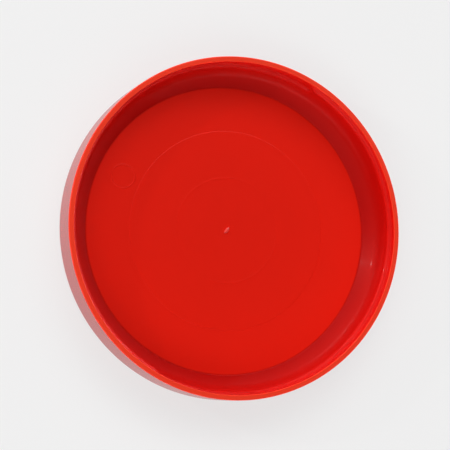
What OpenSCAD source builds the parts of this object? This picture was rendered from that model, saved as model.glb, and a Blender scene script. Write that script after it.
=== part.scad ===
// Screw-on lid for a wide-mouthed glass storage jar, one plastic moulding.
// The lid lies on its closed face with the open side up: +Z runs from the closed face
// (z = 0) to the rim, and the origin is the centre of the closed face. Millimetres.

/* [Skirt] */
// Outside diameter of the skirt
skirt_d = 115; // [90:0.5:140]
// Height of the lid from its closed face to its rim
lid_h = 15.6; // [14:0.1:20]
// Thickness of the skirt
skirt_t = 1.75; // [1.2:0.05:2.2]
// Taper of the bore below the threaded band, on the radius
skirt_draft = 0.15; // [0:0.01:0.3]
// Rounding of the rim's outer edge
rim_outer_r = 0.4; // [0.1:0.05:0.6]
// Rounding of the rim's inner edge
rim_inner_r = 0.45; // [0.1:0.05:0.6]
// Rounding of the closed end's outer edge
heel_r = 1; // [0.2:0.05:1.1]

/* [Panel and sealing cone] */
// Diameter of the flat panel at the foot of the sealing cone
panel_d = 98.4; // [80:0.2:100]
// Thickness of the panel
panel_t = 1.45; // [1:0.05:2]
// How far the back of the panel stands off the surface that the lid lies on
panel_recess = 0.5; // [0:0.1:1]
// Angle of the sealing cone from the lid's axis, in degrees
cone_a = 48; // [35:1:50]
// Thickness of the cone's wall
cone_t = 1.5; // [1:0.05:2]
// Radius of the sweep from the bore into the cone
throat_r = 10; // [2:0.1:12]
// Rounding of the corner between the cone and the panel
foot_r = 0.8; // [0.2:0.1:2.5]
// Rounding at the bottom of the groove behind the cone
groove_r = 0.8; // [0.2:0.1:1]
// Rounding of the edges that the groove leaves on the closed side
groove_edge_r = 0.4; // [0.1:0.05:0.5]

/* [Thread] */
// Number of thread starts
thread_starts = 2; // [1:1:4]
// Turn of each ridge about the axis, in degrees
thread_arc = 185; // [60:1:330]
// Axial advance of a ridge in one full turn
thread_lead = 8.1; // [0:0.1:9]
// Depth of a ridge's middle line below the rim where the ridge begins
thread_start_depth = 2.4; // [2:0.05:3]
// Direction in which the first ridge begins, in degrees from +X
thread_start_a = 63; // [0:1:359]
// How far a ridge stands out of the bore
thread_h = 0.75; // [0.6:0.05:1.5]
// Width of a ridge where it meets the bore
thread_w = 2.2; // [2:0.05:3.4]
// Turn over which each end of a ridge runs out, in degrees
thread_ramp = 4; // [2:0.5:12]

/* [Moulding marks] */
// Diameter of the gate's stub at the centre of the panel
gate_d = 1.8; // [1:0.1:3]
// Height of the gate's stub
gate_h = 0.35; // [0.1:0.05:0.8]
// Diameter of the raised disc that the mould's core insert leaves
core_disc_d = 68; // [40:1:76]
// Height of that disc
core_disc_h = 0.1; // [0.05:0.01:0.2]
// Diameter of the fine ring that the ejector sleeve leaves
sleeve_ring_d = 35; // [10:1:38]
// Width of the fine rings
ring_w = 0.4; // [0.2:0.05:0.6]
// Height of the fine rings
ring_h = 0.08; // [0.04:0.01:0.15]
// Diameter of the blank round insert's ring
insert_d = 8; // [4:0.5:10]
// Distance of the insert from the centre
insert_offset = 40.2; // [39:0.2:43]
// Direction of the insert from the centre, in degrees from +X
insert_a = 154.5; // [0:0.5:359.5]

/* [Hidden] */
lid_colour = [0.84, 0.12, 0.08];

// Radii of the skirt's two faces and of the panel's foot
skirt_r = skirt_d / 2;
bore_r = skirt_r - skirt_t;
foot_radius = panel_d / 2;

// Height of the panel's inner face, and of the point where the bore meets the cone's line
panel_z = panel_recess + panel_t;
throat_bore_r = bore_r - skirt_draft;
throat_z = panel_z + (throat_bore_r - foot_radius) / tan(cone_a);

// The groove behind the cone: the cone's back is parallel to its face
cone_back_shift = cone_t / cos(cone_a);
panel_back_r = foot_radius - panel_t * tan(cone_a) + cone_back_shift;
groove_floor_z = panel_z + (bore_r - cone_back_shift - foot_radius) / tan(cone_a);

// How the curves are divided
arc_steps = 8;
turn_fn = 180;
mark_fn = 64;
ridge_steps = 40;
ramp_steps = 4;
flank_steps = 8;

// How far a ridge's back lies inside the wall that carries it
ridge_root = 0.5;

// Turn from one direction to another the short way round, in degrees, anticlockwise positive
function turn(from, to) = (to - from + 540) % 360 - 180;

// The outline's corner b, between its neighbours a and c, rounded by its third value
function corner(a, b, c) =
    b[2] == 0
        ? [[b.x, b.y]]
        : let (
            back = [a.x - b.x, a.y - b.y] / norm([a.x - b.x, a.y - b.y]),
            ahead = [c.x - b.x, c.y - b.y] / norm([c.x - b.x, c.y - b.y]),
            half = acos(back * ahead) / 2,
            middle = (back + ahead) / norm(back + ahead),
            centre = [b.x, b.y] + middle * b[2] / sin(half),
            first = [b.x, b.y] + back * b[2] / tan(half) - centre,
            last = [b.x, b.y] + ahead * b[2] / tan(half) - centre,
            from = atan2(first.y, first.x),
            sweep = turn(from, atan2(last.y, last.x))
        )
        [for (k = [0:arc_steps]) centre + b[2] * [cos(from + sweep * k / arc_steps),
                                                  sin(from + sweep * k / arc_steps)]];

// Every corner of a closed outline, rounded
function rounded(path) = [
    for (k = [0:len(path) - 1])
        each corner(path[(k + len(path) - 1) % len(path)], path[k], path[(k + 1) % len(path)])
];

// Half section of the moulding, as [radius, height, rounding]
section = [
    [0, panel_recess, 0],
    [panel_back_r, panel_recess, groove_edge_r],
    [bore_r, groove_floor_z, groove_r],
    [bore_r, 0, groove_edge_r],
    [skirt_r, 0, heel_r],
    [skirt_r, lid_h, rim_outer_r],
    [bore_r, lid_h, rim_inner_r],
    [throat_bore_r, throat_z, throat_r],
    [foot_radius, panel_z, foot_r],
    [0, panel_z, 0],
];

module moulding() {
    rotate_extrude($fn = turn_fn) polygon(rounded(section));
}

// Share of its full height that a ridge has after it has turned by a
function ridge_rise(a) = sin(90 * max(0, min(1, a / thread_ramp, (thread_arc - a) / thread_ramp)));

// A ridge's rounded cross-section after it has turned by a, clockwise seen from the open side
function ridge_ring(a) =
    let (
        middle = lid_h - thread_start_depth - thread_lead * a / 360,
        height = thread_h * ridge_rise(a),
        back = bore_r + ridge_root,
        flank = [for (t = [0:180 / flank_steps:180]) [bore_r - height * sin(t), thread_w / 2 * cos(t)]],
        dir = thread_start_a - a
    )
    [for (p = concat(flank, [[back, -thread_w / 2], [back, thread_w / 2]]))
        [p.x * cos(dir), p.x * sin(dir), middle + p.y]];

// Turns at which a ridge has a cross-section, closer together on its two ramps
ridge_turns = concat(
    [for (k = [0:ramp_steps - 1]) thread_ramp * k / ramp_steps],
    [for (k = [0:ridge_steps]) thread_ramp + (thread_arc - 2 * thread_ramp) * k / ridge_steps],
    [for (k = [ramp_steps - 1:-1:0]) thread_arc - thread_ramp * k / ramp_steps]
);

module thread_ridge() {
    side = flank_steps + 3;
    rings = len(ridge_turns);
    polyhedron(
        points = [for (a = ridge_turns) each ridge_ring(a)],
        faces = concat(
            [[for (k = [0:side - 1]) k]],
            [for (i = [0:rings - 2], k = [0:side - 1])
                [i * side + k, (i + 1) * side + k, (i + 1) * side + (k + 1) % side]],
            [for (i = [0:rings - 2], k = [0:side - 1])
                [i * side + k, (i + 1) * side + (k + 1) % side, i * side + (k + 1) % side]],
            [[for (k = [side - 1:-1:0]) (rings - 1) * side + k]]
        )
    );
}

module thread() {
    for (s = [0:thread_starts - 1]) rotate([0, 0, s * 360 / thread_starts]) thread_ridge();
}

// A fine raised ring on the panel
module witness_ring(d, base) {
    rotate_extrude($fn = mark_fn) translate([d / 2, base]) square([ring_w, ring_h]);
}

module moulding_marks() {
    sink = panel_t / 4;
    disc_z = panel_z + core_disc_h;
    translate([0, 0, panel_z - sink]) cylinder(h = core_disc_h + sink, d = core_disc_d, $fn = turn_fn);
    translate([0, 0, disc_z - sink])
        cylinder(h = gate_h + sink, d1 = gate_d, d2 = gate_d / 2, $fn = mark_fn);
    translate([0, 0, disc_z]) witness_ring(sleeve_ring_d, 0);
    rotate([0, 0, insert_a]) translate([insert_offset, 0, panel_z]) witness_ring(insert_d, 0);
}

module lid() {
    color(lid_colour) union() {
        moulding();
        thread();
        moulding_marks();
    }
}

lid();
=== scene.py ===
"""Looks of a screw-on jar lid: one glossy red moulding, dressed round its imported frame."""

from __future__ import annotations

import logging
import math
from dataclasses import dataclass
from enum import Enum
from functools import partial

import bpy
from mathutils import Matrix, Vector


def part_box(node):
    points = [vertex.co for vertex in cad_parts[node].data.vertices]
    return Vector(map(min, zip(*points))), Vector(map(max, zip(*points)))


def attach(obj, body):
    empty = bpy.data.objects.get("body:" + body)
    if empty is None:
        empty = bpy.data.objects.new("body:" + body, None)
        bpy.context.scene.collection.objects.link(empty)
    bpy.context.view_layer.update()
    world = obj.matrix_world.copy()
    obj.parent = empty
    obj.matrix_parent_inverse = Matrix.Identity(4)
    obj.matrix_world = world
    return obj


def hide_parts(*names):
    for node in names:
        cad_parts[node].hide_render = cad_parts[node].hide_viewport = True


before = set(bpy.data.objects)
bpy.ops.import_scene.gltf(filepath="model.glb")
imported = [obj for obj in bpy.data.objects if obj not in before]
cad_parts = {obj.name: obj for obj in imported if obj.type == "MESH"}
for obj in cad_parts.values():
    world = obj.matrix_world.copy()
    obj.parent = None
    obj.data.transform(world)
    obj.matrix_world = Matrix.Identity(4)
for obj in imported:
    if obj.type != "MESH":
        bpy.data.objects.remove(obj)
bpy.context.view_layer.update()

MM = 0.001
MICRON = 1e-6
FULL_TURN = 2 * math.pi
LOG = logging.getLogger("lid")

Colour = tuple[float, float, float]
Place = tuple[float, float]
Material = bpy.types.Material
Socket = bpy.types.NodeSocket

WHITE = (1.0, 1.0, 1.0, 1.0)


class MouldSide(Enum):
    """The halves of the mould. Each leaves its own polish on the faces that it forms."""

    CORE = 0
    CAVITY = 1


def add_object(name: str, data: bpy.types.ID) -> bpy.types.Object:
    """Adds an object to the scene."""
    made = bpy.data.objects.new(name, data)
    bpy.context.scene.collection.objects.link(made)
    return made


def line_mesh(name: str, points: list[tuple], attribute: str, values: list[float]) -> bpy.types.Mesh:
    """Makes a line of points in metres, with a number at each, for a tree to start from."""
    made = bpy.data.meshes.new(name)
    made.from_pydata(points, [(i, i + 1) for i in range(len(points) - 1)], [])
    made.attributes.new(attribute, "FLOAT", "POINT").data.foreach_set("value", values)
    return made


# -------------------- node trees


class Wiring:
    """Adds nodes to one tree and joins them, in the order in which they are read."""

    PER_ROW = 12
    APART = (180, -220)

    def __init__(self, tree: bpy.types.NodeTree) -> None:
        """Takes the tree that the nodes go into."""
        self.tree = tree

    @classmethod
    def of(cls, owner: Material | bpy.types.World) -> Wiring:
        """Empties the tree of a material or a world, ready to be wired."""
        owner.use_nodes = True
        owner.node_tree.nodes.clear()
        return cls(owner.node_tree)

    def node(self, kind: str, **settings: object) -> bpy.types.Node:
        """Adds one node and sets its properties, such as its operation."""
        made = self.tree.nodes.new(kind)
        for name, value in settings.items():
            setattr(made, name, value)
        row, column = divmod(len(self.tree.nodes), self.PER_ROW)
        made.location = (self.APART[0] * column, self.APART[1] * row)
        return made

    def feed(self, socket: Socket, value: object) -> None:
        """Joins an output to an input, or sets the input to a constant."""
        if isinstance(value, Socket):
            self.tree.links.new(value, socket)
        else:
            socket.default_value = value

    def call(self, kind: str, inputs: dict, **settings: object) -> bpy.types.Node:
        """Adds a node and feeds its inputs.

        Args:
            kind: The node's type name.
            inputs: Input name or number, and what it is fed.
            **settings: Properties of the node.

        Returns:
            The new node.
        """
        made = self.node(kind, **settings)
        for name, value in inputs.items():
            self.feed(made.inputs[name], value)
        return made

    def result(self, kind: str, inputs: dict, **settings: object) -> Socket:
        """Adds a node, feeds its inputs and returns its first output."""
        return self.call(kind, inputs, **settings).outputs[0]

    def math(self, operation: str, *values: object) -> Socket:
        """Adds a Math node and returns its result."""
        return self.result("ShaderNodeMath", dict(enumerate(values)), operation=operation)

    def smooth_step(self, value: object, end: object) -> Socket:
        """Rises smoothly from 0 to 1 as the value goes from 0 to the end."""
        inputs = {"Value": value, "From Max": end}
        return self.result("ShaderNodeMapRange", inputs, interpolation_type="SMOOTHSTEP")

    def pick(self, share: object, low: object, high: object) -> Socket:
        """The low number where the share is 0 and the high one where it is 1."""
        return self.result("ShaderNodeMix", {0: share, 2: low, 3: high})

    def tint(self, share: Socket, low: Socket, high: Socket) -> Socket:
        """The low colour where the share is 0 and the high one where it is 1."""
        inputs = {0: share, "A": low, "B": high}
        return self.call("ShaderNodeMix", inputs, data_type="RGBA").outputs["Result"]

    def level(self, vector: Socket) -> Socket:
        """The level part of a vector."""
        return self.result("ShaderNodeVectorMath", {0: vector, 1: (1.0, 1.0, 0.0)}, operation="MULTIPLY")


class ShaderGroup(Wiring):
    """A shader node group with named inputs and outputs, made once and shared by the finishes."""

    def __init__(self, name: str, inputs: dict[str, str], outputs: dict[str, str]) -> None:
        """Makes an empty group, with a socket type for each named input and output."""
        super().__init__(bpy.data.node_groups.new(name, "ShaderNodeTree"))
        for direction, sockets in (("INPUT", inputs), ("OUTPUT", outputs)):
            for label, kind in sockets.items():
                self.tree.interface.new_socket(name=label, in_out=direction, socket_type=kind)
        self.inputs = self.node("NodeGroupInput").outputs

    def close(self, results: dict[str, Socket]) -> bpy.types.NodeTree:
        """Joins the results to the group's outputs and returns the finished group."""
        self.call("NodeGroupOutput", results)
        return self.tree


class GeometryTree(Wiring):
    """A Geometry Nodes tree with named inputs, which makes one piece, after which its modifier is removed
    from the piece.
    """

    KINDS = {int: "NodeSocketInt", float: "NodeSocketFloat", Material: "NodeSocketMaterial"}

    def __init__(self, name: str, sizes: dict[str, object]) -> None:
        """Makes an empty tree.

        Args:
            name: The tree's name.
            sizes: Each named input and its value.
        """
        super().__init__(bpy.data.node_groups.new(name, "GeometryNodeTree"))
        sockets = self.tree.interface
        for direction in ("INPUT", "OUTPUT"):
            sockets.new_socket(name="Geometry", in_out=direction, socket_type="NodeSocketGeometry")
        self.values: dict[str, object] = {}
        for label, value in sizes.items():
            kind = next(k for t, k in self.KINDS.items() if isinstance(value, t))
            socket = sockets.new_socket(name=label, in_out="INPUT", socket_type=kind)
            self.values[socket.identifier] = value
        self.inputs = self.node("NodeGroupInput").outputs

    def close(self, geometry: Socket) -> None:
        """Joins the finished geometry to the tree's output."""
        self.call("NodeGroupOutput", {"Geometry": geometry})

    def sheet(self, steps: Socket) -> tuple[Socket, Socket, Socket]:
        """A sheet of faces with a column for each point of the section that the tree starts from.

        Args:
            steps: Number of faces along a column.

        Returns:
            The sheet, the number of each point's column, and its share of the way along it.
        """
        section = {0: self.inputs["Geometry"]}
        count = self.call("GeometryNodeAttributeDomainSize", section).outputs["Point Count"]
        sides = {"Size X": 1, "Size Y": 1, "Vertices X": count, "Vertices Y": self.math("ADD", steps, 1)}
        grid = self.call("GeometryNodeMeshGrid", sides).outputs["Mesh"]
        here = self.node("GeometryNodeInputPosition").outputs[0]
        apart = self.call("ShaderNodeSeparateXYZ", {0: here}).outputs
        last = self.math("SUBTRACT", count, 1)
        column = self.math("ROUND", self.math("MULTIPLY", self.math("ADD", apart["X"], 0.5), last))
        return grid, column, self.math("ADD", apart["Y"], 0.5)

    def named(self, attribute: str) -> Socket:
        """A numeric attribute of the geometry that is worked on."""
        return self.result("GeometryNodeInputNamedAttribute", {"Name": attribute}, data_type="FLOAT")

    def sampled(self, column: Socket, what: str) -> Socket:
        """Reads the starting section's Position, or one of its attributes, at a point's number."""
        if what == "Position":
            value, kind = self.node("GeometryNodeInputPosition").outputs[0], "FLOAT_VECTOR"
        else:
            value, kind = self.named(what), "FLOAT"
        read = {"Geometry": self.inputs["Geometry"], "Value": value, "Index": column}
        return self.result("GeometryNodeSampleIndex", read, data_type=kind)

    def turned(self, radius: object, height: object, angle: object) -> Socket:
        """A place at a distance from the lid's axis, at a height and in a direction."""
        flat = self.result("ShaderNodeCombineXYZ", {0: radius, 2: height})
        about = {"Vector": flat, "Angle": angle, "Axis": (0, 0, 1)}
        return self.result("ShaderNodeVectorRotate", about, rotation_type="AXIS_ANGLE")

    def skin(self, sheet: Socket, place: Socket) -> Socket:
        """Moves a sheet's points to their places, joins its edges and turns its faces outwards."""
        placed = self.result("GeometryNodeSetPosition", {"Geometry": sheet, "Position": place})
        closed = self.result("GeometryNodeMergeByDistance", {"Geometry": placed, "Distance": MICRON})
        return self.result("GeometryNodeFlipFaces", {0: closed})

    def dressed(self, geometry: Socket, finish: Socket) -> Socket:
        """Shades the geometry smoothly, makes its instances real and gives it its finish."""
        smooth = self.result("GeometryNodeSetShadeSmooth", {0: geometry})
        whole = self.result("GeometryNodeRealizeInstances", {0: smooth})
        return self.result("GeometryNodeSetMaterial", {"Geometry": whole, "Material": finish})

    def make(self, name: str, start: bpy.types.Mesh) -> bpy.types.Object:
        """Runs the tree on a mesh and keeps the result as a plain piece.

        Args:
            name: The piece's name.
            start: The mesh that the tree starts from.

        Returns:
            The piece, with no modifier on it.
        """
        piece = add_object(name, start)
        modifier = piece.modifiers.new(name, "NODES")
        modifier.node_group = self.tree
        for identifier, value in self.values.items():
            modifier[identifier] = value
        seen = piece.evaluated_get(bpy.context.evaluated_depsgraph_get())
        made = bpy.data.meshes.new_from_object(seen)
        if made.materials[0] is None:
            made.materials.pop(index=0)
        piece.modifiers.remove(modifier)
        piece.data = made
        made.name = name
        bpy.data.meshes.remove(start)
        return piece


# -------------------- the moulding


@dataclass(frozen=True)
class Corner:
    """A corner of the lid's half section, in millimetres.

    Attributes:
        r: Distance from the lid's axis.
        z: Height.
        rounding: Radius of the corner.
        step: Longest stretch between two rows of points on the way to the next corner.
        side: The half of the mould that forms the faces up to the next corner.
    """

    r: float
    z: float
    rounding: float = 0.0
    step: float = 4.0
    side: MouldSide = MouldSide.CAVITY

    def towards(self, other: Corner) -> Vector:
        """Direction from this corner to another, of length 1."""
        return (Vector((other.r, other.z)) - Vector((self.r, self.z))).normalized()


@dataclass(frozen=True)
class Row:
    """One row of points round the lid: its place in millimetres, and what it belongs to."""

    r: float
    z: float
    side: MouldSide


@dataclass
class HalfSection:
    """The lid's closed half section, from the axis on the closed side to the axis inside.

    Attributes:
        corners: Its corners, in order.
        arc_step_deg: Turn between two points of a small rounding.
        hold: Distance from a rounding at which a row holds the shading of the flat beside it.
    """

    corners: list[Corner]
    arc_step_deg: float = 15.0
    hold: float = 0.05

    def arc(self, k: int) -> list[Place]:
        """Points of the rounding at corner number k, or the sharp corner itself, as (r, z)."""
        here = self.corners[k]
        at = Vector((here.r, here.z))
        if here.rounding == 0:
            return [tuple(at)]
        back, ahead = here.towards(self.corners[k - 1]), here.towards(self.corners[k + 1])
        half = back.angle(ahead) / 2
        centre = at + (back + ahead).normalized() * here.rounding / math.sin(half)
        reach = here.rounding / math.tan(half)
        first, last = at + back * reach - centre, at + ahead * reach - centre
        sweep = -first.angle_signed(last)
        length = abs(sweep) * here.rounding
        steps = max(math.ceil(abs(math.degrees(sweep)) / self.arc_step_deg), math.ceil(length / here.step))
        start = math.atan2(first.y, first.x)
        turns = [start + sweep * i / steps for i in range(steps + 1)]
        return [(centre.x + here.rounding * math.cos(t), centre.y + here.rounding * math.sin(t))
                for t in turns]

    def stretch(self, start: Place, end: Place, step: float) -> list[Place]:
        """Points between two roundings, closer together next to each.

        Args:
            start: The last point of one rounding.
            end: The first point of the next.
            step: The longest distance between two points.

        Returns:
            The points between the two, without them.
        """
        a, b = Vector(start), Vector(end)
        length = (b - a).length
        if length < 3 * self.hold:
            return []
        inner = length - 2 * self.hold
        parts = max(1, math.ceil(inner / step))
        marks = [self.hold + inner * i / parts for i in range(parts + 1)]
        return [tuple(a.lerp(b, m / length)) for m in marks]

    def rows(self) -> list[Row]:
        """All rows of points, from the closed side's centre to the panel's centre."""
        found: list[Row] = []
        arcs = [self.arc(k) for k in range(len(self.corners))]
        for corner, arc, following in zip(self.corners, arcs, arcs[1:] + [[]]):
            places = arc + (self.stretch(arc[-1], following[0], corner.step) if following else [])
            found += [Row(r, z, corner.side) for r, z in places]
        return found

    def mesh(self, name: str) -> bpy.types.Mesh:
        """The section as a line of points in metres, each marked with its side of the mould."""
        rows = self.rows()
        points = [(row.r * MM, 0, row.z * MM) for row in rows]
        return line_mesh(name, points, "side", [float(row.side.value) for row in rows])


@dataclass(frozen=True)
class Bore:
    """The wall that the ridges stand on, in millimetres.

    Attributes:
        radius: Radius at the rim.
        rim: Height of the rim.
        lean: Angle by which the wall leans inwards on its way down, in degrees.
        sweep_top: Height at which the sweep into the cone begins.
        sweep_r: Radius of that sweep.
    """

    radius: float
    rim: float
    lean: float
    sweep_top: float
    sweep_r: float

    def centre(self) -> Place:
        """Centre of the sweep, as (r, z)."""
        lean = math.radians(self.lean)
        top_r = self.radius - (self.rim - self.sweep_top) * math.tan(lean)
        return top_r - self.sweep_r * math.cos(lean), self.sweep_top + self.sweep_r * math.sin(lean)


@dataclass(frozen=True)
class Thread:
    """The ridges inside the skirt, in millimetres and degrees.

    Attributes:
        bore: The wall that they stand on.
        starts: Number of ridges.
        turn: Angle that each ridge turns through.
        lead: Advance of a ridge in one full turn.
        depth: Depth of a ridge's middle below the rim at its beginning.
        begins: Direction in which the first ridge begins.
        height: How far a ridge stands out.
        width: Width of a ridge at its foot.
        run_out: Turn in which each end sinks into the wall.
        fullness: Power of the ridge's outline, 2 for a parabola and more for a fuller ridge.
        foot: Rounding where a ridge meets the wall.
        root: How far a ridge's back lies inside the wall.
        reach: Where a ridge's sheet ends, in half widths from its middle.
        gap: How far the sheet lies behind the wall where no ridge stands out.
        across: Number of faces across a ridge.
        step: Turn of one face along a ridge.
    """

    bore: Bore
    starts: int = 2
    turn: float = 185.0
    lead: float = 8.1
    depth: float = 2.3
    begins: float = 63.0
    height: float = 1.25
    width: float = 2.9
    run_out: float = 4.0
    fullness: float = 2.0
    foot: float = 0.35
    root: float = 0.8
    reach: float = 1.3
    gap: float = 0.012
    across: int = 36
    step: float = 0.6

    def section(self) -> bpy.types.Mesh:
        """A closed line round the ridge: its place across in half widths, and whether it is the back."""
        front = [self.reach * (2 * k / self.across - 1) for k in range(self.across + 1)]
        places = [(x, 0.0) for x in front] + [(self.reach, 1.0), (-self.reach, 1.0), (-self.reach, 0.0)]
        return line_mesh("ridge_section", [(x, 0, 0) for x, _ in places], "back", [b for _, b in places])

    def wall(self, tree: GeometryTree, height: Socket) -> Socket:
        """Radius of the plain wall at a height."""
        sizes = tree.inputs
        depth = tree.math("SUBTRACT", sizes["Rim height"], height)
        fall = tree.math("MULTIPLY", depth, sizes["Wall slope"])
        plain = tree.math("SUBTRACT", sizes["Bore radius"], fall)
        away = tree.math("SUBTRACT", height, sizes["Sweep centre height"])
        aside = tree.math("MULTIPLY", away, away)
        aside = tree.math("SQRT", tree.math("SUBTRACT", tree.math("POWER", sizes["Sweep radius"], 2), aside))
        swept = tree.math("ADD", sizes["Sweep centre radius"], aside)
        return tree.pick(tree.math("LESS_THAN", height, sizes["Sweep top"]), plain, swept)

    def front(self, tree: GeometryTree, height: Socket, across: Socket, turned: Socket) -> Socket:
        """Radius of a ridge's face, blended into the wall beside it.

        Args:
            tree: The tree that the nodes go into.
            height: Height of each point.
            across: Place of each point across the ridge, in half widths.
            turned: Angle from the ridge's beginning, clockwise seen from the open side.

        Returns:
            The radius.
        """
        sizes = tree.inputs
        slope = tree.math("POWER", tree.math("ABSOLUTE", across), sizes["Fullness"])
        left = tree.math("SUBTRACT", sizes["Turn"], turned)
        rise = tree.math("MULTIPLY", tree.smooth_step(turned, sizes["Run-out"]),
                         tree.smooth_step(left, sizes["Run-out"]))
        margin = tree.math("DIVIDE", sizes["Foot"], sizes["Height"])
        drop = tree.math("MULTIPLY", tree.math("ADD", 1, margin), tree.math("SUBTRACT", 1, rise))
        stands = tree.math("SUBTRACT", tree.math("SUBTRACT", 1, slope), drop)
        ridge = tree.math("SUBTRACT", sizes["Bore radius"], tree.math("MULTIPLY", sizes["Height"], stands))
        behind = tree.math("ADD", self.wall(tree, height), sizes["Gap"])
        return tree.math("SMOOTH_MIN", behind, ridge, sizes["Foot"])

    def tree(self, finish: Material) -> GeometryTree:
        """The tree that winds the ridges up the wall.

        Args:
            finish: Finish of the ridges.

        Returns:
            The tree, ready to run on the ridge's section.
        """
        centre_r, centre_z = self.bore.centre()
        tree = GeometryTree("thread_ridges", {
            "Ridges": self.starts,
            "Steps": round(self.turn / self.step) + 2,
            "Begins": math.radians(self.begins),
            "Turn": math.radians(self.turn),
            "Spare turn": math.radians(self.step),
            "Advance": self.lead * MM / FULL_TURN,
            "Depth": self.depth * MM,
            "Height": self.height * MM,
            "Half width": self.width * MM / 2,
            "Run-out": math.radians(self.run_out),
            "Fullness": self.fullness,
            "Foot": self.foot * MM,
            "Root": self.root * MM,
            "Gap": self.gap * MM,
            "Rim height": self.bore.rim * MM,
            "Bore radius": self.bore.radius * MM,
            "Wall slope": math.tan(math.radians(self.bore.lean)),
            "Sweep top": self.bore.sweep_top * MM,
            "Sweep radius": self.bore.sweep_r * MM,
            "Sweep centre radius": centre_r * MM,
            "Sweep centre height": centre_z * MM,
            "Finish": finish,
        })
        sizes = tree.inputs
        grid, column, share = tree.sheet(sizes["Steps"])
        whole_turn = tree.math("MULTIPLY_ADD", sizes["Spare turn"], 2, sizes["Turn"])
        turned = tree.math("SUBTRACT", tree.math("MULTIPLY", share, whole_turn), sizes["Spare turn"])
        across = tree.call("ShaderNodeSeparateXYZ", {0: tree.sampled(column, "Position")}).outputs["X"]
        sunk = tree.math("MULTIPLY_ADD", turned, sizes["Advance"], sizes["Depth"])
        middle = tree.math("SUBTRACT", sizes["Rim height"], sunk)
        height = tree.math("MULTIPLY_ADD", across, sizes["Half width"], middle)
        radius = self.front(tree, height, across, turned)
        inner = tree.math("ADD", sizes["Bore radius"], sizes["Root"])
        radius = tree.pick(tree.sampled(column, "back"), radius, inner)
        # The first and the last ring shrink to a point inside the wall, which closes the ridge's ends
        from_middle = tree.math("ABSOLUTE", tree.math("SUBTRACT", share, 0.5))
        from_end = tree.math("MULTIPLY", tree.math("SUBTRACT", 0.5, from_middle), sizes["Steps"])
        end = tree.math("LESS_THAN", from_end, 0.5)
        radius, height = tree.pick(end, radius, inner), tree.pick(end, height, middle)
        place = tree.turned(radius, height, tree.math("SUBTRACT", sizes["Begins"], turned))
        spots = tree.result("GeometryNodeMeshLine", {"Count": sizes["Ridges"], "Offset": (0, 0, 0)})
        number = tree.node("GeometryNodeInputIndex").outputs[0]
        angle = tree.math("MULTIPLY", number, tree.math("DIVIDE", FULL_TURN, sizes["Ridges"]))
        both = tree.result("GeometryNodeInstanceOnPoints", {
            "Points": spots,
            "Instance": tree.skin(grid, place),
            "Rotation": tree.result("ShaderNodeCombineXYZ", {2: angle}),
        })
        tree.close(tree.dressed(both, sizes["Finish"]))
        return tree

    def build(self, finish: Material) -> bpy.types.Object:
        """Makes the ridges as one piece that rides on the lid."""
        piece = self.tree(finish).make("thread_ridges", self.section())
        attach(piece, "root")
        return piece


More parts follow.
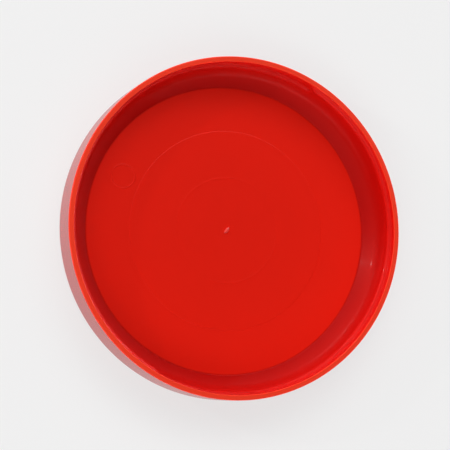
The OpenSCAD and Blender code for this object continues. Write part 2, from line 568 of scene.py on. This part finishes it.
@dataclass
class Moulding:
    """The whole lid as one closed skin, in millimetres and degrees.

    Attributes:
        outer_r: Radius of the skirt, from the frame.
        height: Height of the lid, from the frame.
        wall: Thickness of the skirt.
        draft: How much the bore narrows on its way from the rim to the cone, on the radius.
        rim_outer, rim_inner: Roundings of the rim's two edges.
        heel: Rounding of the closed end's outer edge.
        panel_r: Radius of the panel.
        panel_wall: Thickness of the panel.
        panel_recess: How far the panel's back stands off the surface that the lid lies on.
        cone_deg: Angle of the sealing cone from the lid's axis.
        cone_wall: Thickness of the cone.
        throat: Radius of the sweep from the bore into the cone.
        foot: Rounding between the cone and the panel.
        groove, groove_edge: Roundings of the groove behind the cone, at its bottom and its edges.
        disc_r, disc_step: Radius and height of the raised disc that the core's insert leaves.
        disc_edge, disc_round: Half the width of the disc's sloping edge, and its rounding.
        ring_r, ring_w, ring_h: Inner radius, width and height of the ring that the ejector sleeve leaves.
        ring_round: Rounding of that ring.
        segments: Number of faces round the lid.
    """

    outer_r: float
    height: float
    wall: float = 1.75
    draft: float = 0.15
    rim_outer: float = 0.4
    rim_inner: float = 0.15
    heel: float = 1.0
    panel_r: float = 49.2
    panel_wall: float = 1.45
    panel_recess: float = 0.5
    cone_deg: float = 48.0
    cone_wall: float = 1.5
    throat: float = 10.0
    foot: float = 0.3
    groove: float = 0.8
    groove_edge: float = 0.4
    disc_r: float = 34.0
    disc_step: float = 0.06
    disc_edge: float = 0.1
    disc_round: float = 0.3
    ring_r: float = 17.5
    ring_w: float = 0.8
    ring_h: float = 0.024
    ring_round: float = 0.5
    segments: int = 432

    @property
    def bore_r(self) -> float:
        """Radius inside the skirt, at the rim."""
        return self.outer_r - self.wall

    @property
    def panel_z(self) -> float:
        """Height of the panel's inner face."""
        return self.panel_recess + self.panel_wall

    @property
    def disc_z(self) -> float:
        """Height of the raised disc's face."""
        return self.panel_z + self.disc_step

    @property
    def slope(self) -> float:
        """How far the cone widens in each millimetre of its height."""
        return math.tan(math.radians(self.cone_deg))

    @property
    def throat_at(self) -> Place:
        """Where the bore meets the cone's line, as (r, z)."""
        r = self.bore_r - self.draft
        return r, self.panel_z + (r - self.panel_r) / self.slope

    def closed_side(self) -> list[Corner]:
        """Corners of the closed side, from the centre to the skirt's heel."""
        shift = self.cone_wall / math.cos(math.radians(self.cone_deg))
        edge_r = self.panel_r - self.panel_wall * self.slope + shift
        groove_z = self.panel_z + (self.bore_r - shift - self.panel_r) / self.slope
        return [
            Corner(0, self.panel_recess, step=6),
            Corner(edge_r, self.panel_recess, self.groove_edge, step=1.5),
            Corner(self.bore_r, groove_z, self.groove, step=1.5),
            Corner(self.bore_r, 0, self.groove_edge),
            Corner(self.outer_r, 0, self.heel, step=2),
        ]

    def open_side(self) -> list[Corner]:
        """Corners from the skirt's rim to the centre of the panel, over the marks on the panel."""
        core = partial(Corner, side=MouldSide.CORE)
        edge = self.ring_w / 4
        ring_z = self.disc_z + self.ring_h
        outer = self.ring_r + self.ring_w
        return [
            core(self.outer_r, self.height, self.rim_outer),
            core(self.bore_r, self.height, self.rim_inner, step=1),
            core(*self.throat_at, self.throat, step=0.4),
            core(self.panel_r, self.panel_z, self.foot, step=5),
            core(self.disc_r + self.disc_edge, self.panel_z, self.disc_round),
            core(self.disc_r - self.disc_edge, self.disc_z, self.disc_round, step=5),
            core(outer, self.disc_z, self.ring_round),
            core(outer - edge, ring_z, self.ring_round),
            core(self.ring_r + edge, ring_z, self.ring_round),
            core(self.ring_r, self.disc_z, self.ring_round, step=5),
            core(0, self.disc_z),
        ]

    def bore(self) -> Bore:
        """The wall that the ridges stand on."""
        throat_z = self.throat_at[1]
        lean = math.degrees(math.atan2(self.draft, self.height - throat_z))
        reach = self.throat * math.tan(math.radians((self.cone_deg - lean) / 2))
        sweep_top = throat_z + reach * math.cos(math.radians(lean))
        return Bore(self.bore_r, self.height, lean, sweep_top, self.throat)

    def tree(self, inside: Material, outside: Material) -> GeometryTree:
        """The tree that turns the section round the axis.

        Args:
            inside: Finish of the faces that the core forms.
            outside: Finish of the faces that the cavity forms.

        Returns:
            The tree, ready to run on the section's mesh.
        """
        tree = GeometryTree("turned_moulding", {
            "Segments": self.segments,
            "Inside": inside,
            "Outside": outside,
        })
        sizes = tree.inputs
        grid, row, share = tree.sheet(sizes["Segments"])
        apart = tree.call("ShaderNodeSeparateXYZ", {0: tree.sampled(row, "Position")}).outputs
        place = tree.turned(apart["X"], apart["Z"], tree.math("MULTIPLY", share, FULL_TURN))
        side = {"Geometry": grid, "Name": "side", "Value": tree.sampled(row, "side")}
        marked = tree.result("GeometryNodeStoreNamedAttribute", side, data_type="FLOAT", domain="POINT")
        whole = tree.dressed(tree.skin(marked, place), sizes["Outside"])
        halfway = (MouldSide.CORE.value + MouldSide.CAVITY.value) / 2
        core = tree.math("LESS_THAN", tree.named("side"), halfway)
        inner = {"Geometry": whole, "Selection": core, "Material": sizes["Inside"]}
        tree.close(tree.result("GeometryNodeSetMaterial", inner))
        return tree

    def build(self, inside: Material, outside: Material) -> bpy.types.Object:
        """Makes the lid's skin as one closed mesh that stands for the CAD node."""
        section = HalfSection(self.closed_side() + self.open_side())
        piece = self.tree(inside, outside).make("lid_moulding", section.mesh("lid_section"))
        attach(piece, "root")
        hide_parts("lid")
        return piece


@dataclass
class InsertRing:
    """The fine ring that a blank round insert of the mould leaves on the panel, in millimetres.

    Attributes:
        base_z: Height of the panel that it stands on.
        radius: Radius of the ring.
        offset: Distance of its centre from the lid's axis.
        direction: Direction of its centre, in degrees from +X.
        width: Width of the ring.
        height: How far it stands out.
        around: Number of faces round the ring.
        across: Number of faces round its outline.
    """

    base_z: float
    radius: float = 4.0
    offset: float = 40.2
    direction: float = 154.5
    width: float = 0.6
    height: float = 0.06
    around: int = 96
    across: int = 12

    def build(self, finish: Material) -> bpy.types.Object:
        """Makes the ring, in the panel's finish, by sweeping a low rounded outline round a circle."""
        turn = math.radians(self.direction)
        centre = (self.offset * MM * math.cos(turn), self.offset * MM * math.sin(turn), self.base_z * MM)
        tree = GeometryTree("witness_ring", {
            "Radius": self.radius * MM,
            "Half width": self.width * MM / 2,
            "Flatness": 2 * self.height / self.width,
            "Finish": finish,
        })
        sizes = tree.inputs
        wide = {"Resolution": self.around, "Radius": sizes["Radius"]}
        path = tree.result("GeometryNodeCurvePrimitiveCircle", wide)
        narrow = {"Resolution": self.across, "Radius": sizes["Half width"]}
        outline = tree.result("GeometryNodeCurvePrimitiveCircle", narrow)
        swept = tree.result("GeometryNodeCurveToMesh", {"Curve": path, "Profile Curve": outline})
        flat = tree.result("ShaderNodeCombineXYZ", {0: 1.0, 1: 1.0, 2: sizes["Flatness"]})
        low = {"Geometry": swept, "Scale": flat, "Translation": centre}
        tree.close(tree.dressed(tree.result("GeometryNodeTransform", low), sizes["Finish"]))
        piece = tree.make("insert_ring", bpy.data.meshes.new("ring_start"))
        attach(piece, "root")
        return piece


@dataclass
class GateStub:
    """The torn stub that is left where the plastic entered the mould, in millimetres.

    Attributes:
        base_z: Height of the panel that it stands on.
        length: Its length.
        width: Its width.
        height: How far it stands out.
        direction: Direction of its length, in degrees from +X.
        roughness: How uneven the tear is, as a share of its size.
        grain: Number of lumps along it.
        detail: How many finer sizes the lumps come in.
        seed: Which tear it is.
        fineness: How often the ball's faces are divided.
    """

    base_z: float
    length: float = 2.6
    width: float = 1.3
    height: float = 0.5
    direction: float = 52.0
    roughness: float = 0.7
    grain: float = 1.1
    detail: float = 1.5
    seed: float = 4.0
    fineness: int = 5

    def build(self, finish: Material) -> bpy.types.Object:
        """Makes the stub, in the finish of torn plastic, from an uneven ball flattened on the panel."""
        tree = GeometryTree("torn_stub", {
            "Length": self.length * MM / 2,
            "Width": self.width * MM / 2,
            "Height": self.height * MM,
            "Direction": math.radians(self.direction),
            "Unevenness": self.roughness,
            "Grain": self.grain,
            "Seed": self.seed,
            "Base": self.base_z * MM,
            "Finish": finish,
        })
        sizes = tree.inputs
        ball = tree.result("GeometryNodeMeshIcoSphere", {"Radius": 1.0, "Subdivisions": self.fineness})
        here = tree.node("GeometryNodeInputPosition").outputs[0]
        noise = {"Vector": here, "W": sizes["Seed"], "Scale": sizes["Grain"], "Detail": self.detail}
        lumps = tree.result("ShaderNodeTexNoise", noise, noise_dimensions="4D")
        swell = tree.math("MULTIPLY_ADD", tree.math("SUBTRACT", lumps, 0.5), sizes["Unevenness"], 1.0)
        uneven = tree.result("ShaderNodeVectorMath", {0: here, "Scale": swell}, operation="SCALE")
        sides = {0: sizes["Length"], 1: sizes["Width"], 2: sizes["Height"]}
        squeeze = {0: uneven, 1: tree.result("ShaderNodeCombineXYZ", sides)}
        flat = tree.result("ShaderNodeVectorMath", squeeze, operation="MULTIPLY")
        set_down = tree.result("GeometryNodeTransform", {
            "Geometry": tree.result("GeometryNodeSetPosition", {"Geometry": ball, "Position": flat}),
            "Translation": tree.result("ShaderNodeCombineXYZ", {2: sizes["Base"]}),
            "Rotation": tree.result("ShaderNodeCombineXYZ", {2: sizes["Direction"]}),
        })
        tree.close(tree.dressed(set_down, sizes["Finish"]))
        piece = tree.make("gate_stub", bpy.data.meshes.new("stub_start"))
        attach(piece, "root")
        return piece


# -------------------- finishes

WALL_RED = (0.655, 0.004, 0.0022)
# Painted shade: a darker red for the walls where they meet the panel.
PAINTED_CORNER_SHADE_RED = (0.53, 0.0022, 0.0016)
# Painted light: the panel's red is lighter and more orange than the walls'.
PANEL_PAINTED_LIGHT_RED = (0.895, 0.0144, 0.0053)
# Painted light: the rim's red is lighter and more orange than the walls'.
RIM_PAINTED_LIGHT_RED = (0.94, 0.05, 0.02)
# Painted shade: the outside faces get a darker red than the walls inside.
OUTER_PAINTED_SHADE_RED = (0.36, 0.003, 0.002)
TORN_RED = (0.95, 0.06, 0.05)
RED_GLEAM = (1.0, 0.2, 0.18)
PLAIN_GLEAM = (1.0, 1.0, 1.0)

PLASTIC_IOR = 1.49
CLOUDS_PER_METRE = 45.0
SMUDGES_PER_METRE = 90.0


def plastic_tint_painted_light_shade() -> bpy.types.NodeTree:
    """The group that gives the plastic its colour, with painted light and shade: the rim and the flat panel
    are painted lighter than the walls, and the walls darker towards the panel.
    """
    colours = dict.fromkeys(("Wall", "Corner", "Panel", "Rim"), "NodeSocketColor")
    numbers = dict.fromkeys(("Panel edge", "Corner reach", "Rim foot", "Fade", "Drift"), "NodeSocketFloat")
    group = ShaderGroup("plastic_tint_painted_light_shade", colours | numbers, {"Colour": "NodeSocketColor"})
    sizes = group.inputs
    where = group.node("ShaderNodeTexCoord").outputs["Object"]
    height = group.call("ShaderNodeSeparateXYZ", {0: where}).outputs["Z"]
    level = {0: group.level(where)}
    away = group.call("ShaderNodeVectorMath", level, operation="LENGTH").outputs["Value"]
    beyond = group.math("SUBTRACT", away, sizes["Panel edge"])
    over = group.math("SUBTRACT", height, sizes["Rim foot"])
    # The walls' red darkens towards their foot: painted shade in the corner.
    wall_with_painted_shade = group.tint(group.smooth_step(beyond, sizes["Corner reach"]), sizes["Corner"], sizes["Wall"])
    # The panel is painted lighter than the walls: painted light.
    low = group.tint(group.smooth_step(beyond, sizes["Fade"]), sizes["Panel"], wall_with_painted_shade)
    # Above the rim's foot the colour turns to the rim's lighter red: painted light.
    both = group.tint(group.smooth_step(over, sizes["Fade"]), low, sizes["Rim"])
    noise = {"Vector": where, "Scale": CLOUDS_PER_METRE, "Detail": 2.0}
    cloud = group.math("SUBTRACT", group.result("ShaderNodeTexNoise", noise), 0.5)
    value = group.math("MULTIPLY_ADD", cloud, sizes["Drift"], 1.0)
    return group.close({"Colour": group.result("ShaderNodeHueSaturation", {"Color": both, "Value": value})})


def moulded_skin() -> bpy.types.NodeTree:
    """The group that gives a moulded face its slow waves and its smudges."""
    inputs = dict.fromkeys(("Wave size", "Wave height", "Polish", "Smudge"), "NodeSocketFloat")
    outputs = dict.fromkeys(("Height", "Roughness"), "NodeSocketFloat")
    group = ShaderGroup("moulded_skin", inputs, outputs)
    sizes = group.inputs
    where = group.node("ShaderNodeTexCoord").outputs["Object"]
    slow = {"Vector": where, "Scale": group.math("DIVIDE", 1.0, sizes["Wave size"]), "Detail": 1.0}
    waves = group.result("ShaderNodeTexNoise", slow)
    uneven = {"Vector": where, "Scale": SMUDGES_PER_METRE, "Detail": 3.0}
    patch = group.math("SUBTRACT", group.result("ShaderNodeTexNoise", uneven), 0.5)
    return group.close({
        "Height": group.math("MULTIPLY", waves, sizes["Wave height"]),
        "Roughness": group.math("ADD", sizes["Polish"], group.math("MULTIPLY", patch, sizes["Smudge"])),
    })


@dataclass(frozen=True)
class GlossFinish:
    """A glossy face of coloured polypropylene.

    Attributes:
        name: The material's name.
        wall: Colour of the plastic in the walls.
        corner: Colour of the walls where they meet the panel, a darker red that is painted shade in that
            corner.
        panel: Colour of the plastic in the panel, painted lighter and more orange than the walls as painted
            light.
        rim: Colour of the plastic at the rim, painted lighter and more orange than the walls as painted
            light.
        gleam: Tint of what the face mirrors straight on.
        polish: Roughness of the polish.
        lacquer: Share of the face's clear outermost skin.
        lacquer_polish: Roughness of that skin.
        wave_size: Size of the slow waves in the face, in millimetres.
        wave_height: Height of those waves, in microns.
        smudge: How much the polish changes from place to place.
        drift: How much the colour drifts over the part.
        panel_edge: Distance from the axis beyond which the colour is that of the walls, in millimetres.
        corner_reach: How much farther from the axis the corner's painted shade reaches, in millimetres.
        rim_foot: Height above which the colour is that of the rim, in millimetres.
        fade: Distance over which one colour gives way to the next, in millimetres.
    """

    name: str
    wall: Colour
    corner: Colour
    panel: Colour
    rim: Colour
    gleam: Colour
    polish: float
    lacquer: float = 0.05
    lacquer_polish: float = 0.06
    wave_size: float = 3.0
    wave_height: float = 0.6
    smudge: float = 0.04
    drift: float = 0.04
    panel_edge: float = 48.5
    corner_reach: float = 6.0
    rim_foot: float = 14.9
    fade: float = 0.8

    def make(self, tint: bpy.types.NodeTree, skin: bpy.types.NodeTree) -> Material:
        """Builds the material.

        Args:
            tint: The shared group that gives the colour.
            skin: The shared group that gives the waves and the polish.

        Returns:
            The material.
        """
        made = bpy.data.materials.new(self.name)
        wire = Wiring.of(made)
        colour = wire.call("ShaderNodeGroup", {}, node_tree=tint)
        for name in ("Wall", "Corner", "Panel", "Rim"):
            colour.inputs[name].default_value = (*getattr(self, name.lower()), 1)
        for name, value in (("Panel edge", self.panel_edge), ("Corner reach", self.corner_reach),
                            ("Rim foot", self.rim_foot), ("Fade", self.fade)):
            colour.inputs[name].default_value = value * MM
        colour.inputs["Drift"].default_value = self.drift
        face = wire.call("ShaderNodeGroup", {}, node_tree=skin)
        for name, value in (("Wave size", self.wave_size * MM), ("Wave height", 1.0),
                            ("Polish", self.polish), ("Smudge", self.smudge)):
            face.inputs[name].default_value = value
        bump = {"Height": face.outputs["Height"], "Distance": self.wave_height * MICRON}
        shader = wire.result("ShaderNodeBsdfPrincipled", {
            "Base Color": colour.outputs["Colour"],
            "Roughness": face.outputs["Roughness"],
            "IOR": PLASTIC_IOR,
            "Specular Tint": (*self.gleam, 1),
            "Coat Weight": self.lacquer,
            "Coat Roughness": self.lacquer_polish,
            "Coat IOR": PLASTIC_IOR,
            "Normal": wire.result("ShaderNodeBump", bump),
        })
        wire.call("ShaderNodeOutputMaterial", {"Surface": shader})
        return made


# -------------------- the studio


@dataclass(frozen=True)
class Lamp:
    """A small lamp that faces the lid. Only its mirror images are seen.

    Attributes:
        name: The lamp's name.
        bearing: Direction from the lid, in degrees from +X.
        elevation: Height above the floor, in degrees.
        distance: Distance from the lid, in metres.
        size: Side of its square face, in metres.
        brightness: Radiance of its face, where 1 is that of a white sheet in plain light.
    """

    name: str
    bearing: float
    elevation: float
    distance: float
    size: float
    brightness: float

    def place(self) -> Vector:
        """Where the lamp stands."""
        turn, rise = math.radians(self.bearing), math.radians(self.elevation)
        level = math.cos(rise)
        return Vector((level * math.cos(turn), level * math.sin(turn), math.sin(rise))) * self.distance

    def build(self) -> None:
        """Makes the lamp."""
        light = bpy.data.lights.new(self.name, "AREA")
        light.size = self.size
        light.energy = math.pi * self.size * self.size * self.brightness
        lamp = add_object(self.name, light)
        lamp.location = self.place()
        lamp.rotation_euler = (-self.place()).to_track_quat("-Z", "Y").to_euler()
        lamp.visible_camera = False


@dataclass(frozen=True)
class Glow:
    """A broad patch of light in one direction of a band.

    Attributes:
        bearing: Direction of its middle, in degrees from +X.
        brightness: Radiance of its middle.
        focus: Power of the cosine by which it fades to both sides.
    """

    bearing: float
    brightness: float
    focus: float

    def shine(self, wire: Wiring, level: Socket) -> Socket:
        """The patch's brightness in a level direction of length 1, before it fades with height."""
        turn = math.radians(self.bearing)
        towards = {0: level, 1: (math.cos(turn), math.sin(turn), 0.0)}
        facing = wire.call("ShaderNodeVectorMath", towards, operation="DOT_PRODUCT").outputs["Value"]
        faded = wire.math("POWER", wire.math("MAXIMUM", facing, 0.0), self.focus)
        return wire.math("MULTIPLY", faded, self.brightness)


@dataclass(frozen=True)
class Band:
    """A band of soft light all round the studio.

    Attributes:
        elevation: Height of its middle above the floor, in degrees.
        spread: Distance from its middle at which it has faded, as a difference of sines.
        ring: Radiance that it has in every direction.
        glows: Its brighter patches.
    """

    elevation: float
    spread: float
    ring: float
    glows: tuple[Glow, ...]

    def shine(self, wire: Wiring, level: Socket, height: Socket) -> Socket:
        """The band's brightness in a level direction of length 1, at the sine of an elevation."""
        away = wire.math("SUBTRACT", height, math.sin(math.radians(self.elevation)))
        share = wire.math("DIVIDE", away, self.spread)
        fade = wire.math("EXPONENT", wire.math("MULTIPLY", wire.math("MULTIPLY", share, share), -1.0))
        light = self.ring
        for glow in self.glows:
            light = wire.math("ADD", glow.shine(wire, level), light)
        return wire.math("MULTIPLY", light, fade)


@dataclass
class Studio:
    """Floor, world and lamps.

    Attributes:
        lamps: The lamps.
        bands: The bands of light round the studio.
        backdrop: Brightness of the surroundings as they are seen.
        sheet: Colour of the floor.
        lift: Share of the floor's brightness that no shadow takes away.
        reach: Distance from the lid to the floor's edges, in metres.
    """

    lamps: tuple[Lamp, ...] = (
        Lamp("spark", bearing=158, elevation=5, distance=0.8, size=0.01, brightness=3000),
        Lamp("glint", bearing=159, elevation=26, distance=0.8, size=0.012, brightness=1000),
    )
    bands: tuple[Band, ...] = (
        Band(0, 0.11, 0.3, (Glow(20, 18.0, 3.5), Glow(122, 20.0, 6.0), Glow(262, 16.0, 3.2))),
        Band(22, 0.14, 0.0, (Glow(145, 0.9, 4.0),)),
        Band(45, 0.18, 0.0, (Glow(88, 4.2, 3.2), Glow(240, 2.4, 2.0))),
    )
    backdrop: float = 0.94
    sheet: float = 0.86
    lift: float = 0.68
    reach: float = 3.0

    def floor(self) -> None:
        """Makes the pale floor."""
        made = bpy.data.meshes.new("floor")
        r = self.reach
        made.from_pydata([(-r, -r, 0), (r, -r, 0), (r, r, 0), (-r, r, 0)], [], [(0, 1, 2, 3)])
        floor = add_object("floor", made)
        material = bpy.data.materials.new("pale_floor")
        wire = Wiring.of(material)
        paint = wire.result("ShaderNodeBsdfDiffuse", {"Color": (self.sheet, self.sheet, self.sheet, 1)})
        glow = wire.result("ShaderNodeEmission", {"Color": WHITE, "Strength": self.backdrop})
        path = wire.node("ShaderNodeLightPath").outputs
        seen = wire.math("MAXIMUM", path["Is Camera Ray"], path["Is Glossy Ray"])
        share = wire.math("MULTIPLY", seen, self.lift)
        mixed = wire.result("ShaderNodeMixShader", {0: share, 1: paint, 2: glow})
        wire.call("ShaderNodeOutputMaterial", {"Surface": mixed})
        made.materials.append(material)

    def world(self) -> None:
        """Makes the surroundings: the bands light the lid, and the camera sees a plain backdrop."""
        world = bpy.data.worlds.new("studio")
        bpy.context.scene.world = world
        wire = Wiring.of(world)
        direction = wire.node("ShaderNodeTexCoord").outputs["Object"]
        height = wire.call("ShaderNodeSeparateXYZ", {0: direction}).outputs["Z"]
        flat = {0: wire.level(direction)}
        level = wire.result("ShaderNodeVectorMath", flat, operation="NORMALIZE")
        light = 0.0
        for band in self.bands:
            light = wire.math("ADD", band.shine(wire, level, height), light)
        seen = wire.node("ShaderNodeLightPath").outputs["Is Camera Ray"]
        sky = {"Color": WHITE, "Strength": wire.pick(seen, light, self.backdrop)}
        wire.call("ShaderNodeOutputWorld", {"Surface": wire.result("ShaderNodeBackground", sky)})

    def build(self) -> None:
        """Makes the floor, the world and the lamps."""
        self.floor()
        self.world()
        for lamp in self.lamps:
            lamp.build()


@dataclass(frozen=True)
class Viewpoint:
    """Where the camera stands.

    Attributes:
        bearing: Direction from the rim's centre, in degrees from +X.
        lean: Angle between that direction and the lid's axis, in degrees.
        distance: Distance from the rim's centre, in metres.
        aim: Point of the rim's plane that the camera looks at, in metres.
        lens: Focal length, in millimetres.
        sensor: Width of the sensor, in millimetres.
    """

    bearing: float = 197.22
    lean: float = 18.1
    distance: float = 0.5756
    aim: Place = (-0.00475, 0.0005)
    lens: float = 138.45
    sensor: float = 36.0

    def build(self, rim_z: float) -> None:
        """Makes the scene's camera over a rim at a height in metres, with +Y upwards in its picture."""
        lean, turn = math.radians(self.lean), math.radians(self.bearing)
        back = Vector((math.sin(lean) * math.cos(turn), math.sin(lean) * math.sin(turn), math.cos(lean)))
        at = Vector((0, 0, rim_z)) + back * self.distance
        ahead = (Vector((*self.aim, rim_z)) - at).normalized()
        right = ahead.cross(Vector((0, 1, 0))).normalized()
        upward = right.cross(ahead)
        data = bpy.data.cameras.new("camera")
        data.lens = self.lens
        data.sensor_width = self.sensor
        camera = add_object("camera", data)
        turned = Matrix((right, upward, -ahead)).transposed().to_4x4()
        camera.matrix_world = Matrix.Translation(at) @ turned
        bpy.context.scene.camera = camera


def main() -> None:
    """Builds the lid, its finishes and the studio, and reports each piece."""
    logging.basicConfig(level=logging.INFO, format="%(message)s")
    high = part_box("lid")[1]
    Viewpoint().build(high.z)
    # Painted light and shade: the inside's corner red is painted shade, and its panel and rim reds are
    # painted lighter than its walls.
    looks = (
        GlossFinish("red_inside_painted_light_shade", WALL_RED, PAINTED_CORNER_SHADE_RED, PANEL_PAINTED_LIGHT_RED, RIM_PAINTED_LIGHT_RED, RED_GLEAM, polish=0.35),
        GlossFinish("red_ridge", WALL_RED, WALL_RED, WALL_RED, RIM_PAINTED_LIGHT_RED, RED_GLEAM, polish=0.5),
        # The outside's darker red is painted shade.
        GlossFinish("red_outside_painted_shade", OUTER_PAINTED_SHADE_RED, OUTER_PAINTED_SHADE_RED, OUTER_PAINTED_SHADE_RED, RIM_PAINTED_LIGHT_RED, PLAIN_GLEAM, polish=0.24),
        GlossFinish("torn_red", TORN_RED, TORN_RED, TORN_RED, TORN_RED, PLAIN_GLEAM, polish=0.3),
    )
    tint, skin = plastic_tint_painted_light_shade(), moulded_skin()
    inside, ridged, outside, torn = (look.make(tint, skin) for look in looks)
    moulding = Moulding(outer_r=high.x / MM, height=high.z / MM)
    pieces = [
        moulding.build(inside, outside),
        Thread(moulding.bore()).build(ridged),
        InsertRing(moulding.panel_z).build(inside),
        GateStub(moulding.disc_z).build(torn),
    ]
    for piece in pieces:
        LOG.info("%s: %d faces", piece.name, len(piece.data.polygons))
    Studio().build()
    bpy.context.scene.view_settings.view_transform = "Standard"


if __name__ == "__main__":
    main()
